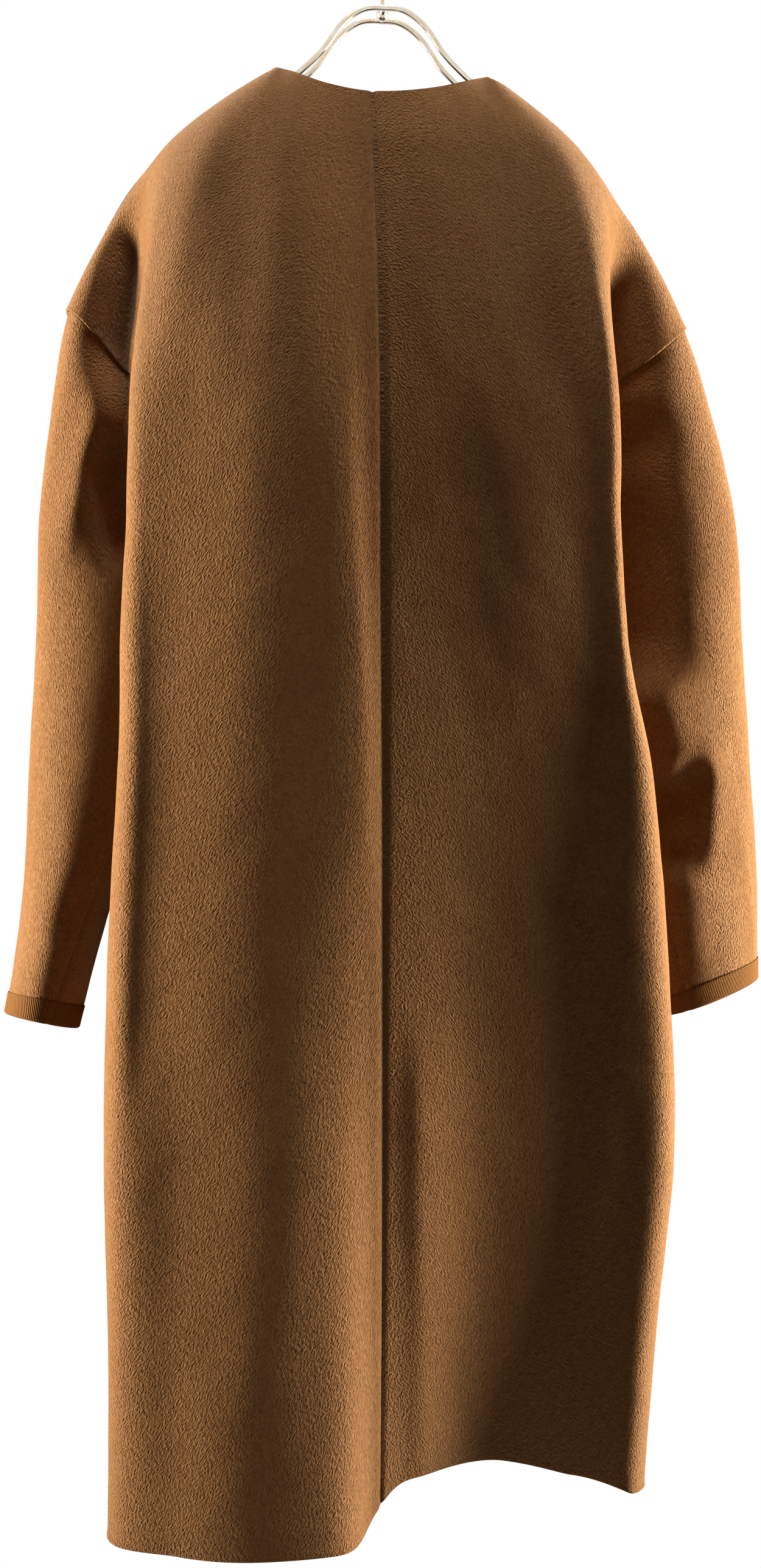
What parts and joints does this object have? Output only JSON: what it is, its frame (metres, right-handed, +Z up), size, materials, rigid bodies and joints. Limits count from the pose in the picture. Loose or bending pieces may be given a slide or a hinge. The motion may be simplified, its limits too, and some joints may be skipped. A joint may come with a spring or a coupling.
{
  "type": "long coat on a wire hanger",
  "caption": "Collarless long napped wool coat with dropped shoulders, a centre back seam and bound cuffs, hanging open-hemmed on a twin-wire hanger with a rail hook.",
  "frame": {"origin": "underside of the hook's crown, where a rail carries the hanger", "axes": "+Z up along the hook's stem, -Y out of the coat's back, +Y out of its front, +X towards the wearer's right"},
  "size_m": [0.6013, 0.286, 1.2077],
  "materials": {
    "wool": "brown napped wool, matt and slightly fuzzy",
    "binding": "brown ribbed tape",
    "hanger_metal": "polished pale gold plating on steel wire"
  },
  "bodies": {
    "root": {"back_left": "wool", "back_right": "wool", "front_left": "wool", "front_right": "wool", "sleeve_left": "wool", "sleeve_right": "wool", "cuff_binding_left": "binding", "cuff_binding_right": "binding", "hanger_wire": "hanger_metal", "hanger_hook": "hanger_metal", "hanger_boss": "hanger_metal"}
  },
  "joints": []
}
